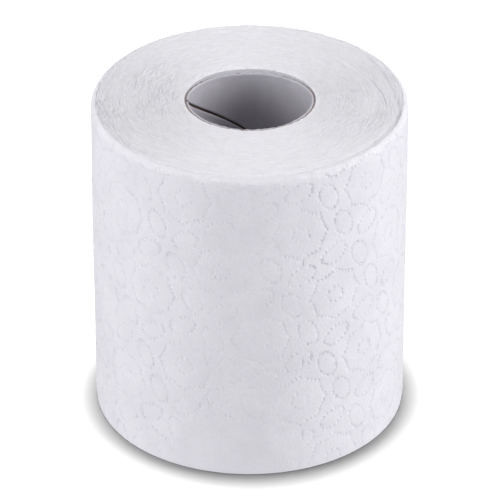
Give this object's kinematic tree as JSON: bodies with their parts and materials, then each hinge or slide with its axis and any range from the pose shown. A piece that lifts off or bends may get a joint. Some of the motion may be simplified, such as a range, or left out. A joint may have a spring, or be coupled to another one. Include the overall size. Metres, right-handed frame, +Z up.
{
  "type": "toilet paper roll",
  "caption": "Full roll of white embossed toilet paper standing on its end, wound on a brown board core lined grey-white inside, with a spiral of turns on each end.",
  "frame": {"origin": "on the core's axis at the base that the roll stands on", "axes": "+Z up along the core's axis; -Y is the front, where a row of perforations lies 19.5 degrees to the right of the middle; the web's free edge is at the back right"},
  "size_m": [0.1054, 0.1051, 0.1143],
  "materials": {
    "tissue_paper": "matte",
    "brown_board": "matte",
    "lined_board": "matte"
  },
  "bodies": {
    "root": {"wound_paper": "tissue_paper", "core_outer_ply": "brown_board", "core_inner_ply": "lined_board"}
  },
  "joints": []
}
